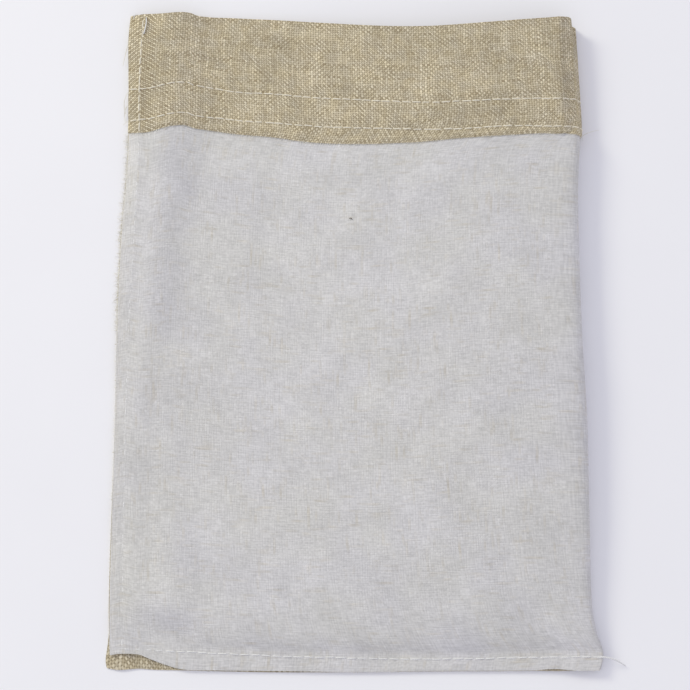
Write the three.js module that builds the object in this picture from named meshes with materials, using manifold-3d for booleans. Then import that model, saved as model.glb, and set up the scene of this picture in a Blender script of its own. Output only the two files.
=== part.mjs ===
// A linen drawstring pouch, empty and inside out, lying flat on its back with its mouth towards +Y.
// One length of coated cloth is folded once along the right side, sewn up the left side and along the bottom,
// and turned down outside at the mouth as a deep hem. Two rows of sewing make it the drawstring's channel.
// Millimetres, +Z up, origin under the middle of the pouch on the surface that it lies on.
import * as THREE from 'three';
import Module from 'manifold-3d';

const { clamp, lerp, smoothstep } = THREE.MathUtils;

// Driving dimensions of the cloth and the hem
const CLOTH = 1.0; // thickness of the coated cloth
const LAYER_GAP = 0.3; // air between two layers that lie on each other
const LAYER_STEP = CLOTH + LAYER_GAP; // from the middle of one layer to the middle of the next
const MOUTH_Y = 104.5; // level from which the sag of the mouth's edge is read
const SEWN_WIDTH = 1.2; // width over which a row of sewing holds two layers together
const ROW_END_INSET = 0.3; // a row of sewing stops this far short of a raw edge
const ROW_INTO_FOLD = 0.45; // the bottom row runs this far past the middle of the fold's bend

// Driving dimensions of the form in which it lies
const FRONT_LEVEL = 7.8; // middle of the front's cloth, where it stands highest over the pocket
const RISE_FROM_SEAM = [20, 128]; // the front rises to that level between these distances from the left seam
const SEWN_FLAT = 1.8; // above the bottom seam it first lies flat this far
const STEEP_SHARE = 0.42; // then it rises, this share of the way steeply and the rest slowly
const STEEP_LENGTH = 6.5; // the steep part, over about this length
const SLOW_LENGTH = 90; // the slow part, over this length
const PUFF = 2.0; // close above the bottom seam it stands this much higher
const PUFF_LENGTH = 3.4; // rising at once, over about this length
const PUFF_AT_RIGHT = 0.9; // or, towards the fold, only this much higher
const PUFF_LOWER = [0, 50]; // it gets that much lower between these places
const PUFF_AT_LEFT = 3.2; // or, towards the left seam, this much higher
const PUFF_RISE = [1, 12]; // rising between these distances
const PUFF_LATE = [-56, -44]; // left of the first place it rises so, right of the second it rises at once
const PUFF_FROM_SEAM = 16; // all of it from this distance off the left seam
const PUFF_FADE = [-88, -45]; // gone again between these heights
const ROLL_FALL = 0.85; // share of its height that the roll beside the left seam loses again
const BACK_FALL = 7; // width over which the back falls from the left seam to where it lies flat
const BACK_RISE = [37, 58]; // between these heights the back climbs onto the hem that lies under it
const SHOULDER_X = 67.2; // right of this the front slopes down towards the fold
const SHOULDER_SLOPE = 0.56; // its fall for each millimetre across
const SHOULDER_FROM = [56, 68]; // not below the first height, fully above the second
const CORNER_LIFT = 0.35; // how far the front's loose bottom left corner curls up
const RIGHT_LIFT = 1.5; // how far the bottom right corner stands off the floor
const RIGHT_LIFT_ACROSS = [48, 74]; // none of it at the first place across, all at the second
const RIGHT_LIFT_UP = [-103, -84]; // all of it at the first height, none at the second
const CORNER_DRAWN = [1.5, 4.2]; // it curls where its edge is drawn up by this much, from not at all to fully

// Outline up the pouch: the front's and the back's raw left edges, the left seam and the outside of the fold
const SIDES = [
  { y: -106, front: -73.4, back: -74.9, seam: -70.5, fold: 74.1 },
  { y: -103, front: -73.8, back: -75.5, seam: -70.5, fold: 75.0 },
  { y: -100, front: -74.3, back: -75.2, seam: -70.5, fold: 75.2 },
  { y: -95, front: -74.5, back: -74.8, seam: -70.6, fold: 73.5 },
  { y: -86, front: -74.8, back: -75.1, seam: -70.9, fold: 72.2 },
  { y: -61, front: -75.0, back: -75.2, seam: -71.3, fold: 72.2 },
  { y: -29, front: -75.0, back: -75.0, seam: -71.7, fold: 72.4 },
  { y: -1, front: -75.3, back: -75.2, seam: -71.6, fold: 71.7 },
  { y: 34, front: -74.7, back: -74.7, seam: -70.6, fold: 71.8 },
  { y: 47, front: -73.8, back: -73.9, seam: -70.2, fold: 72.1 },
  { y: 61, front: -73.4, back: -73.6, seam: -69.9, fold: 72.9 },
  { y: 83, front: -73.8, back: -73.9, seam: -70.2, fold: 72.6 },
  { y: 98, front: -74.3, back: -74.4, seam: -69.9, fold: 72.4 },
  { y: 106, front: -73.8, back: -74.0, seam: -69.4, fold: 72.0 },
];

// How far the mouth's edge sags across the pouch; a minus stands above the level
const SAG = [
  { x: -75, down: -1.75 },
  { x: -70, down: -1.7 },
  { x: -64, down: -1.5 },
  { x: -58, down: -2.1 },
  { x: -55, down: -1.95 },
  { x: -53.5, down: -1.35 },
  { x: -51, down: -1.15 },
  { x: -44, down: -1.0 },
  { x: -36, down: -0.5 },
  { x: -26, down: 0.15 },
  { x: -16, down: 1.1 },
  { x: 4, down: 2.95 },
  { x: 14, down: 3.65 },
  { x: 23, down: 4.0 },
  { x: 30, down: 3.85 },
  { x: 48, down: 2.8 },
  { x: 67, down: 1.3 },
  { x: 71, down: 0.6 },
  { x: 72, down: 0.7 },
  { x: 74, down: 2.75 },
];

// Depth below the mouth's edge of the hem's two rows of sewing and of its raw edge
const HEM = [
  { x: -75, upper: 26.0, lower: 36.9, raw: 41.0 },
  { x: -69, upper: 26.3, lower: 36.8, raw: 41.4 },
  { x: -62, upper: 25.1, lower: 35.7, raw: 39.9 },
  { x: -51, upper: 24.7, lower: 35.1, raw: 39.4 },
  { x: -40, upper: 25.9, lower: 35.7, raw: 40.4 },
  { x: -28, upper: 26.1, lower: 36.1, raw: 40.9 },
  { x: -12, upper: 26.4, lower: 36.3, raw: 41.7 },
  { x: 4, upper: 26.3, lower: 35.9, raw: 41.2 },
  { x: 20, upper: 26.5, lower: 35.8, raw: 40.3 },
  { x: 36, upper: 26.9, lower: 36.3, raw: 39.7 },
  { x: 52, upper: 27.2, lower: 36.5, raw: 39.7 },
  { x: 64, upper: 28.2, lower: 37.6, raw: 40.0 },
  { x: 72, upper: 28.5, lower: 38.1, raw: 40.9 },
  { x: 74, upper: 27.2, lower: 36.6, raw: 39.2 },
];

// Along the bottom: the row of sewing and the raw edges of the front and the back. The front's left corner is
// drawn up.
const BOTTOM = [
  { x: -75, seam: -99.4, front: -101.5, back: -105.3 },
  { x: -72, seam: -99.5, front: -101.0, back: -105.8 },
  { x: -66, seam: -99.7, front: -101.2, back: -105.4 },
  { x: -63.5, seam: -99.8, front: -101.9, back: -105.6 },
  { x: -59, seam: -100.1, front: -103.4, back: -105.8 },
  { x: -53, seam: -100.4, front: -105.4, back: -105.9 },
  { x: -45, seam: -100.8, front: -105.9, back: -106.1 },
  { x: -25, seam: -101.7, front: -106.1, back: -106.5 },
  { x: 0, seam: -102.3, front: -106.4, back: -106.4 },
  { x: 20, seam: -102.6, front: -106.1, back: -106.2 },
  { x: 45, seam: -102.2, front: -106.0, back: -106.1 },
  { x: 62, seam: -102.0, front: -105.5, back: -106.0 },
  { x: 74, seam: -102.0, front: -105.9, back: -105.9 },
];

// The rounded right side: how far it reaches from the front's edge out to the fold, the power of its curve,
// which is fuller below 1, and how high above the back its outermost line is
const FOLDS = [
  { y: 40, reach: 9.5, full: 0.58, tip: 3.8 },
  { y: 58, reach: 8.5, full: 0.58, tip: 3.8 },
  { y: 66, reach: 2.2, full: 0.8, tip: 3.0 },
  { y: 80, reach: 1.6, full: 0.9, tip: 2.4 },
  { y: 93, reach: 2.0, full: 1.0, tip: 1.9 },
  { y: 103, reach: 1.8, full: 1.0, tip: 1.7 },
];

// The roll beside the left seam: how far the seam stands off the floor, how much higher the front still climbs
// past it, and between which places the front falls back
const ROLL = [
  { y: -100, lift: 0.3, crest: 0.1, start: -69.0, end: -63.0 },
  { y: -85, lift: 0.6, crest: 0.1, start: -69.0, end: -62.0 },
  { y: -40, lift: 0.5, crest: 0.1, start: -69.0, end: -62.0 },
  { y: -10, lift: 0.6, crest: 0.4, start: -67.5, end: -59.0 },
  { y: 15, lift: 0.9, crest: 0.8, start: -64.5, end: -53.0 },
  { y: 40, lift: 1.6, crest: 1.0, start: -62.5, end: -50.0 },
  { y: 57, lift: 1.9, crest: 1.1, start: -61.5, end: -46.0 },
  { y: 72, lift: 2.0, crest: 1.3, start: -61.0, end: -44.0 },
  { y: 104, lift: 2.0, crest: 1.3, start: -61.0, end: -44.0 },
];

// Soft ridges and troughs of the front, each along a line
const RIPPLES = [
  { from: [-52, 96], to: [-31, 81], width: 4.5, height: -0.3 }, // crease across the hem
  { from: [25, 69], to: [45, -61], width: 22, height: 0.35 }, // low swell of the front
];

// Cells of the cloth's grid, across the pouch and up it
const ALLOWANCE_CELLS = 2;
const FRONT_CELLS = 22;
const SHOULDER_CELLS = 2;
const FOLD_CELLS = 10;
const BACK_CELLS = 9;
const SEAM_CROWDING = 1.5; // crowds the grid towards the seams
const BODY_CELLS = 18;
const HEM_CELLS = 5;
const TURN_CELLS = 4;

const wasm = await Module();
wasm.setup();

// Reads a table's column as a smooth curve, level past its ends
function curveThrough(table, key, column, at) {
  const last = table.length - 1;
  const place = clamp(at, table[0][key], table[last][key]);
  let low = 0;
  while (low < last - 1 && place > table[low + 1][key]) low += 1;
  const slopeAt = (index) => {
    const before = table[Math.max(index - 1, 0)];
    const after = table[Math.min(index + 1, last)];
    return (after[column] - before[column]) / (after[key] - before[key]);
  };
  const span = table[low + 1][key] - table[low][key];
  const t = (place - table[low][key]) / span;
  const start = table[low][column];
  const end = table[low + 1][column];
  const bend = t * t * (3 - 2 * t);
  const leave = t * (1 - t) * (1 - t) * span * slopeAt(low);
  const arrive = t * t * (1 - t) * span * slopeAt(low + 1);
  return start + (end - start) * bend + leave - arrive;
}

// Across the cloth: 0 is the front's raw left edge, 1 its left seam, 2 its right, 3 the back's right, 4 the
// back's left seam and 5 its raw left edge
const FRONT_SEAM = 1;
const SHOULDER_START = 1.975;
const FOLD_START = 2;
const FOLD_MIDDLE = 2.5;
const FOLD_END = 3;
const BACK_SEAM = 4;
const ACROSS_END = 5;
const NOMINAL_EDGE = -75;
const NOMINAL_SEAM = -71;
const NOMINAL_RIGHT = 72;
const NOMINAL_TIP = 74;

function nominalX(across) {
  const fromFront = Math.min(across, ACROSS_END - across);
  if (fromFront <= FRONT_SEAM) return lerp(NOMINAL_EDGE, NOMINAL_SEAM, fromFront);
  if (fromFront <= FOLD_START) return lerp(NOMINAL_SEAM, NOMINAL_RIGHT, fromFront - FRONT_SEAM);
  return lerp(NOMINAL_RIGHT, NOMINAL_TIP, (fromFront - FOLD_START) / (FOLD_MIDDLE - FOLD_START));
}

// Up the cloth: 0 is the raw bottom edge, 1 the bottom seam, 2 the level of the hem's raw edge, 3 the mouth
const SEAM_LEVEL = 1;
const HEM_LEVEL = 2;
const MOUTH_LEVEL = 3;
const TURN_RADIUS = LAYER_STEP / 2; // middle of the cloth where it turns over at the mouth
const TURN_REACH = TURN_RADIUS + CLOTH / 2;

function wallTop(x) {
  return MOUTH_Y - TURN_REACH - curveThrough(SAG, 'x', 'down', x);
}

// Length of the hem from where it has turned over to its raw edge
function hemLength(x) {
  return curveThrough(HEM, 'x', 'raw', x) - TURN_REACH;
}

function bottomEdge(x, backShare) {
  return lerp(curveThrough(BOTTOM, 'x', 'front', x), curveThrough(BOTTOM, 'x', 'back', x), backShare);
}

function bottomSeam(x) {
  return curveThrough(BOTTOM, 'x', 'seam', x);
}

function upThePouch(up, x, backShare) {
  const seam = bottomSeam(x);
  const hem = wallTop(x) - hemLength(x);
  if (up <= SEAM_LEVEL) return lerp(bottomEdge(x, backShare), seam, up);
  if (up <= HEM_LEVEL) return lerp(seam, hem, up - SEAM_LEVEL);
  return lerp(hem, wallTop(x), up - HEM_LEVEL);
}

// Rises steeply from a seam, then rounds off
function swell(distance, width) {
  return Math.sin(clamp(distance / width, 0, 1) * Math.PI / 2);
}

// How far the cloth is above the strip that the bottom seam holds flat
function aboveSeam(x, y) {
  return Math.max(y - bottomSeam(x) - SEWN_FLAT, 0);
}

// Share of its height that the front has reached above the bottom seam
function riseFromBottom(x, y) {
  const above = aboveSeam(x, y);
  const steep = 1 - Math.exp(-above / STEEP_LENGTH);
  return lerp(swell(above, SLOW_LENGTH), steep, STEEP_SHARE);
}

// Share of the way from a raw left edge to the left seam, 1 past the seam
function fromRawEdge(x, y, side) {
  const edge = curveThrough(SIDES, 'y', side, y);
  return clamp((x - edge) / (curveThrough(SIDES, 'y', 'seam', y) - edge), 0, 1);
}

// How far the bottom right corner stands off the floor
function rightCorner(x, y) {
  return RIGHT_LIFT * smoothstep(x, ...RIGHT_LIFT_ACROSS) * (1 - smoothstep(y, ...RIGHT_LIFT_UP));
}

// The back lies flat, climbs onto the hem under it and up to the left seam
function backHeight(x, y) {
  const seam = curveThrough(SIDES, 'y', 'seam', y);
  const falling = 1 - smoothstep(x, seam, seam + BACK_FALL);
  const raised = curveThrough(ROLL, 'y', 'lift', y) * Math.min(fromRawEdge(x, y, 'back'), falling);
  return CLOTH / 2 + LAYER_STEP * smoothstep(y, ...BACK_RISE) + raised + rightCorner(x, y);
}

// How far the front stands off the lying cloth in the roll beside the left seam
function rollHeight(x, y) {
  const seam = curveThrough(SIDES, 'y', 'seam', y);
  const start = curveThrough(ROLL, 'y', 'start', y);
  const lifted = curveThrough(ROLL, 'y', 'lift', y) * fromRawEdge(x, y, 'front');
  const climb = curveThrough(ROLL, 'y', 'crest', y) * smoothstep(x, seam, start);
  return (lifted + climb) * (1 - ROLL_FALL * smoothstep(x, start, curveThrough(ROLL, 'y', 'end', y)));
}

// How far the front puffs up close above the bottom seam
function puffHeight(x, y, fromSeam) {
  const above = aboveSeam(x, y);
  const usual = lerp(PUFF, PUFF_AT_RIGHT, smoothstep(x, ...PUFF_LOWER));
  const atOnce = usual * (1 - Math.exp(-above / PUFF_LENGTH));
  const late = PUFF_AT_LEFT * smoothstep(above, ...PUFF_RISE);
  const height = lerp(late, atOnce, smoothstep(x, ...PUFF_LATE));
  return height * swell(fromSeam, PUFF_FROM_SEAM) * (1 - smoothstep(y, ...PUFF_FADE));
}

function ripple(x, y) {
  const point = new THREE.Vector3(x, y, 0);
  const nearest = new THREE.Vector3();
  let height = 0;
  for (const crease of RIPPLES) {
    const line = new THREE.Line3(new THREE.Vector3(...crease.from), new THREE.Vector3(...crease.to));
    line.closestPointToPoint(point, true, nearest);
    height += crease.height * Math.exp(-((point.distanceTo(nearest) / crease.width) ** 2));
  }
  return height;
}

// Beyond the bottom seam, the front's drawn up corner also curls off the back
function cornerCurl(x, y) {
  const drawnUp = bottomEdge(x, 0) - bottomEdge(x, 1);
  const pastSeam = clamp((bottomSeam(x) - y) / (bottomSeam(x) - bottomEdge(x, 0)), 0, 1);
  return CORNER_LIFT * smoothstep(drawnUp, ...CORNER_DRAWN) * pastSeam ** 2;
}

function frontHeight(x, y) {
  const fromSeam = x - curveThrough(SIDES, 'y', 'seam', y);
  const lying = CLOTH / 2 + LAYER_STEP * (1 + smoothstep(y, ...BACK_RISE)) + rightCorner(x, y);
  const risen = smoothstep(fromSeam, ...RISE_FROM_SEAM) * riseFromBottom(x, y);
  const standing = lerp(puffHeight(x, y, fromSeam) + rollHeight(x, y), FRONT_LEVEL - lying, risen);
  const shoulder = SHOULDER_SLOPE * Math.max(x - SHOULDER_X, 0) * smoothstep(y, ...SHOULDER_FROM);
  return lying + standing + ripple(x, y) - shoulder + cornerCurl(x, y);
}

const frontPoint = (x, y) => new THREE.Vector3(x, y, frontHeight(x, y));
const backPoint = (x, y) => new THREE.Vector3(x, y, backHeight(x, y));

// Middle of the cloth's thickness on the pouch's wall
function wallMiddle(across, up) {
  const x = nominalX(across);
  const backShare = clamp(across - FOLD_START, 0, 1);
  const y = upThePouch(up, x, backShare);
  const rise = riseFromBottom(x, y);
  const flat = LAYER_STEP / 2;
  const foldX = curveThrough(SIDES, 'y', 'fold', y) - CLOTH / 2;
  const reachAbove = lerp(flat, curveThrough(FOLDS, 'y', 'reach', y), rise);
  const reachBelow = lerp(flat, curveThrough(FOLDS, 'y', 'tip', y), rise);
  const seam = curveThrough(SIDES, 'y', 'seam', y);
  if (across <= FOLD_START) {
    const inAllowance = lerp(curveThrough(SIDES, 'y', 'front', y), seam, across);
    const onFront = lerp(seam, foldX - reachAbove, across - FRONT_SEAM);
    return frontPoint(across <= FRONT_SEAM ? inAllowance : onFront, y);
  }
  if (across >= FOLD_END) {
    const inAllowance = lerp(seam, curveThrough(SIDES, 'y', 'back', y), across - BACK_SEAM);
    const onBack = lerp(foldX - reachBelow, seam, across - FOLD_END);
    return backPoint(across >= BACK_SEAM ? inAllowance : onBack, y);
  }
  const angle = Math.PI * (0.5 - backShare);
  const onTop = angle > 0;
  const full = onTop ? curveThrough(FOLDS, 'y', 'full', y) : 1;
  const reach = onTop ? reachAbove : reachBelow;
  const tip = backHeight(foldX, y) + reachBelow;
  const end = onTop ? frontHeight(foldX - reachAbove, y) : backHeight(foldX - reachBelow, y);
  const outShare = Math.cos(angle) ** full;
  const levelShare = Math.abs(Math.sin(angle)) ** full;
  return new THREE.Vector3(foldX - reach * (1 - outShare), y, lerp(tip, end, levelShare));
}

const SLOPE_STEP = 1e-3; // a small step across or up the cloth, over which its slope is read

// Direction away from the pocket at a point of the wall
function outward(across, up) {
  const along = wallMiddle(Math.min(across + SLOPE_STEP, ACROSS_END), up);
  along.sub(wallMiddle(Math.max(across - SLOPE_STEP, 0), up));
  const rising = wallMiddle(across, Math.min(up + SLOPE_STEP, MOUTH_LEVEL));
  rising.sub(wallMiddle(across, Math.max(up - SLOPE_STEP, 0)));
  return along.cross(rising).normalize();
}

// A point a distance outside the middle of the wall, and a distance further up the pouch
function clothPoint(across, up, outside, above = 0) {
  const point = wallMiddle(across, up).addScaledVector(outward(across, up), outside);
  point.y += above;
  return point;
}

function evenSteps(count, start, end) {
  return Array.from({ length: count }, (_, index) => lerp(start, end, index / count));
}

function crowdedSteps(count, start, end) {
  return Array.from({ length: count }, (_, index) => lerp(start, end, (index / count) ** SEAM_CROWDING));
}

// Columns across the cloth, crowded towards the left seam
const COLUMNS = [
  ...evenSteps(ALLOWANCE_CELLS, 0, FRONT_SEAM),
  ...crowdedSteps(FRONT_CELLS, FRONT_SEAM, SHOULDER_START),
  ...evenSteps(SHOULDER_CELLS, SHOULDER_START, FOLD_START),
  ...evenSteps(FOLD_CELLS, FOLD_START, FOLD_END),
  FOLD_END,
  ...crowdedSteps(BACK_CELLS, BACK_SEAM, FOLD_END).reverse(),
  ...evenSteps(ALLOWANCE_CELLS, ACROSS_END, BACK_SEAM).reverse(),
];

// Levels up the wall
const HEM_LEVELS = [...evenSteps(HEM_CELLS, HEM_LEVEL, MOUTH_LEVEL), MOUTH_LEVEL];
const BODY_LEVELS = crowdedSteps(BODY_CELLS, SEAM_LEVEL, HEM_LEVEL);
const ALLOWANCE_LEVELS = evenSteps(ALLOWANCE_CELLS, 0, SEAM_LEVEL);

// Rows of the cloth: up the wall, over the mouth and down the hem, each with the places of its two faces
function clothRows() {
  const half = CLOTH / 2;
  const wall = [...ALLOWANCE_LEVELS, ...BODY_LEVELS, ...HEM_LEVELS].map((up) => ({
    up,
    woven: { outside: -half },
    coated: { outside: half },
  }));
  const onTurn = (radius, angle) => ({
    outside: TURN_RADIUS - radius * Math.cos(angle),
    above: radius * Math.sin(angle),
  });
  const turn = evenSteps(TURN_CELLS, 0, Math.PI).slice(1).map((angle) => ({
    up: MOUTH_LEVEL,
    woven: onTurn(TURN_RADIUS + half, angle),
    coated: onTurn(TURN_RADIUS - half, angle),
  }));
  const hem = [...HEM_LEVELS].reverse().map((up) => ({
    up,
    woven: { outside: LAYER_STEP + half },
    coated: { outside: LAYER_STEP - half },
    onHem: true,
  }));
  return [...wall, ...turn, ...hem];
}

// A closed solid between two grids of points, the second one outside the first
function solidBetween(inner, outer, splitOtherWay = () => false) {
  const rows = inner.length;
  const columns = inner[0].length;
  const far = rows * columns;
  const index = [];
  const quad = (a, b, c, d) => index.push(a, b, c, a, c, d);
  for (let row = 0; row < rows - 1; row += 1) {
    for (let column = 0; column < columns - 1; column += 1) {
      const a = row * columns + column;
      const [b, c, d] = [a + 1, a + columns + 1, a + columns];
      if (splitOtherWay(row)) {
        quad(d, c, b, a);
        quad(far + b, far + c, far + d, far + a);
      } else {
        quad(a, d, c, b);
        quad(far + a, far + b, far + c, far + d);
      }
    }
  }
  for (let column = 0; column < columns - 1; column += 1) {
    const top = (rows - 1) * columns + column;
    quad(column, column + 1, far + column + 1, far + column);
    quad(top + 1, top, far + top, far + top + 1);
  }
  for (let row = 0; row < rows - 1; row += 1) {
    const left = row * columns;
    const right = left + columns - 1;
    quad(left + columns, left, far + left, far + left + columns);
    quad(right, right + columns, far + right + columns, far + right);
  }
  const position = [...inner.flat(), ...outer.flat()].flatMap((point) => point.toArray());
  const mesh = new wasm.Mesh({
    numProp: 3,
    vertProperties: new Float32Array(position),
    triVerts: new Uint32Array(index),
  });
  return new wasm.Manifold(mesh);
}

// The whole length of cloth, folded, with its hem turned down
function foldedCloth() {
  const rows = clothRows();
  const face = (side) => rows.map((row) => {
    const { outside, above } = row[side];
    return COLUMNS.map((across) => clothPoint(across, row.up, outside, above));
  });
  return solidBetween(face('woven'), face('coated'), (row) => Boolean(rows[row].onHem));
}

// Sewing up the left side, from the bottom seam to the mouth
function leftSeam() {
  const levels = [...BODY_LEVELS, ...HEM_LEVELS];
  const places = levels.map((up) => {
    const y = upThePouch(up, NOMINAL_SEAM, 0);
    const x = curveThrough(SIDES, 'y', 'seam', y);
    return [[x - SEWN_WIDTH / 2, y], [x + SEWN_WIDTH / 2, y]];
  });
  places.at(-1).forEach((place) => { place[1] -= ROW_END_INSET; });
  const layer = (pointOn) => places.map((row) => row.map(([x, y]) => pointOn(x, y)));
  return solidBetween(layer(backPoint), layer(frontPoint));
}

// Sewing along the bottom, from the left seam into the fold
function bottomRow() {
  const seamY = bottomSeam(NOMINAL_RIGHT);
  const left = curveThrough(SIDES, 'y', 'seam', bottomSeam(NOMINAL_SEAM)) - SEWN_WIDTH / 2;
  const right = curveThrough(SIDES, 'y', 'fold', seamY) - CLOTH / 2 - LAYER_STEP / 2 + ROW_INTO_FOLD;
  const places = [...evenSteps(FRONT_CELLS, left, right), right];
  const layer = (pointOn) => [-SEWN_WIDTH / 2, SEWN_WIDTH / 2].map((above) => (
    places.map((x) => pointOn(x, bottomSeam(x) + above))
  ));
  return solidBetween(layer(backPoint), layer(frontPoint));
}

// One of the rows of sewing round the hem, which hold it to the wall
function hemRow(row) {
  const inset = ROW_END_INSET / (NOMINAL_SEAM - NOMINAL_EDGE);
  const places = COLUMNS.map((across) => clamp(across, inset, ACROSS_END - inset));
  const levelBelow = (across, below) => {
    const x = nominalX(across);
    const depth = curveThrough(HEM, 'x', row, x) + below;
    return MOUTH_LEVEL - (depth - TURN_REACH) / hemLength(x);
  };
  const layer = (outside) => [SEWN_WIDTH / 2, -SEWN_WIDTH / 2].map((below) => (
    places.map((across) => clothPoint(across, levelBelow(across, below), outside))
  ));
  return solidBetween(layer(0), layer(LAYER_STEP));
}

function toGeometry(solid) {
  const { numProp, vertProperties, triVerts } = solid.getMesh();
  const geometry = new THREE.BufferGeometry();
  geometry.setAttribute('position', new THREE.BufferAttribute(new Float32Array(vertProperties), numProp));
  geometry.setIndex(new THREE.BufferAttribute(new Uint32Array(triVerts), 1));
  geometry.computeVertexNormals();
  return geometry;
}

// Pale grey coated linen
const coatedLinen = new THREE.MeshStandardMaterial({ color: '#c6c5c5', roughness: 0.85, metalness: 0 });

const sewing = [leftSeam(), bottomRow(), hemRow('upper'), hemRow('lower')];
const cloth = sewing.reduce((sewn, row) => sewn.add(row), foldedCloth());
const pouchCloth = new THREE.Mesh(toGeometry(cloth), coatedLinen);
pouchCloth.name = 'pouch_cloth';

const pouch = new THREE.Group();
pouch.add(pouchCloth);

export default pouch;
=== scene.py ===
# %% [markdown]
# # A linen pouch, empty and inside out
# The real pouch is one length of cloth, woven from tan slubby yarn on one face and coated pale grey on the
# other. It is folded once, sewn up the left side and along the bottom, and turned down at its mouth as a
# deep hem. This lesson makes the cloth as one thin sheet on the folds of the CAD solid, then adds the
# sewing and the yarn ends. The frame comes first, because every piece below is placed in its space, in
# metres.

# %% Load the frame
import math

import bmesh
import bpy
import numpy as np
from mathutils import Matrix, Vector


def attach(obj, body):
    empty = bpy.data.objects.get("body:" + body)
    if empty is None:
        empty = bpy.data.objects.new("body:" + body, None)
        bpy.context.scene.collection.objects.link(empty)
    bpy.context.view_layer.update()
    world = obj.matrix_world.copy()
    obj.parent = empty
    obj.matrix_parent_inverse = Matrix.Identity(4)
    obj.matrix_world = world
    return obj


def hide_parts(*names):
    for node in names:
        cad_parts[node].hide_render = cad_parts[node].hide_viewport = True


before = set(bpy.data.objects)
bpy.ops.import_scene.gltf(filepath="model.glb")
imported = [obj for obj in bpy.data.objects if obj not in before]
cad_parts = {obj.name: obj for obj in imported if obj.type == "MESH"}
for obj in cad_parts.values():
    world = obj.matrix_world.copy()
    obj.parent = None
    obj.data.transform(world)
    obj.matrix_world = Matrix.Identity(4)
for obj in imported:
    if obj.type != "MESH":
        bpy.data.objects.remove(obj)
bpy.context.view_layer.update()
MM = 0.001
scene = bpy.context.scene


def put(name, data):
    """Adds an object with some data to the scene."""
    made = bpy.data.objects.new(name, data)
    scene.collection.objects.link(made)
    return made


# %% [markdown]
# ## Camera
# The photographer stood at the pouch's bottom edge and looked down on it, a little short of straight down.
# A long lens keeps the sides nearly parallel. The camera looks along its own -Z, so one turn about X tilts
# it.

# %% Camera
CAMERA_AIM = Vector((-2.9, -5.06, 0)) * MM
CAMERA_DISTANCE = 464 * MM
CAMERA_TILT = math.radians(12)
IMAGE_WIDTH = 690
FOCAL_PIXELS = 1461

camera = put("camera", bpy.data.cameras.new("camera"))
camera.data.lens = FOCAL_PIXELS / IMAGE_WIDTH * camera.data.sensor_width
camera.location = CAMERA_AIM + CAMERA_DISTANCE * Vector((0, -math.sin(CAMERA_TILT), math.cos(CAMERA_TILT)))
camera.rotation_euler.x = CAMERA_TILT
scene.camera = camera
print("lens, mm:", round(camera.data.lens, 2))

# %% [markdown]
# ## Colours and nodes
# Colours are read off as sRGB hex values, but shaders add up light in linear numbers, so one function turns
# them. A second one adds a node with its settings and links and gives back an output, which keeps node
# trees short to read. On top of it stand one for arithmetic, one for noise and one for a surface.

# %% Helpers for materials
NARROW = (0.35, 0.65)


def linear(hex_colour):
    """An sRGB hex colour as linear red, green, blue and alpha."""
    shares = [int(hex_colour[place : place + 2], 16) / 255 for place in (1, 3, 5)]
    return [*(s / 12.92 if s <= 0.04045 else ((s + 0.055) / 1.055) ** 2.4 for s in shares), 1.0]


def add(tree, kind, *inputs, out=0, named=None, **settings):
    """Adds a node, fills or links its inputs by order or by name, and gives back one of its outputs."""
    node = tree.nodes.new(kind if kind.startswith("Node") else "ShaderNode" + kind)
    for setting, value in settings.items():
        setattr(node, setting, value)
    for key, value in [*enumerate(inputs), *(named or {}).items()]:
        if isinstance(value, bpy.types.NodeSocket):
            tree.links.new(value, node.inputs[key])
        else:
            node.inputs[key].default_value = value
    return node.outputs[out] if node.outputs else node


def new_material(name):
    """A material with an empty node tree."""
    material = bpy.data.materials.new(name)
    material.use_nodes = True
    material.node_tree.nodes.clear()
    return material, material.node_tree


def calc(tree, operation, *inputs):
    """One step of arithmetic between outputs or numbers."""
    return add(tree, "Math", *inputs, operation=operation)


def noise(tree, place, size, low, high, window=(0.3, 0.7), detail=2.0, dimensions="2D"):
    """Noise with patches of one size, its middle window spread from a low value to a high one."""
    named = {"Scale": 1 / size, "Detail": detail}
    patches = add(tree, "TexNoise", place, named=named, noise_dimensions=dimensions)
    return add(tree, "MapRange", patches, *window, low, high)


def surface(tree, colour, roughness, shine, relief=None, depth=0.0, nap=None):
    """Ends a material with its surface, whose relief has a depth where there is any."""
    named = {"Base Color": colour, "Roughness": roughness, "Specular IOR Level": shine} | (nap or {})
    if relief is not None:
        named["Normal"] = add(tree, "Bump", named={"Height": relief, "Distance": depth, "Strength": 1.0})
    add(tree, "OutputMaterial", add(tree, "BsdfPrincipled", named=named))


print("pale grey in linear numbers:", [round(share, 3) for share in linear("#c6c5c5")])

# %% [markdown]
# ## The weave
# The cloth is a plain weave: each yarn goes over one and under the next. Yarn by yarn in mesh it would need
# far more triangles than a part should have, so the weave is a pattern on the sheet's own map, which holds
# places on the flat cut in metres. Linen yarn is spun unevenly, with thick slubs, so each yarn gets its own
# shade and its own thick and thin stretches. A yarn leans a little where it comes up between its
# neighbours, and on the hem the side seam pulls the yarns beside it into a herringbone. The pattern is a
# node group, because the bare face and the coated face share it.

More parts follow.
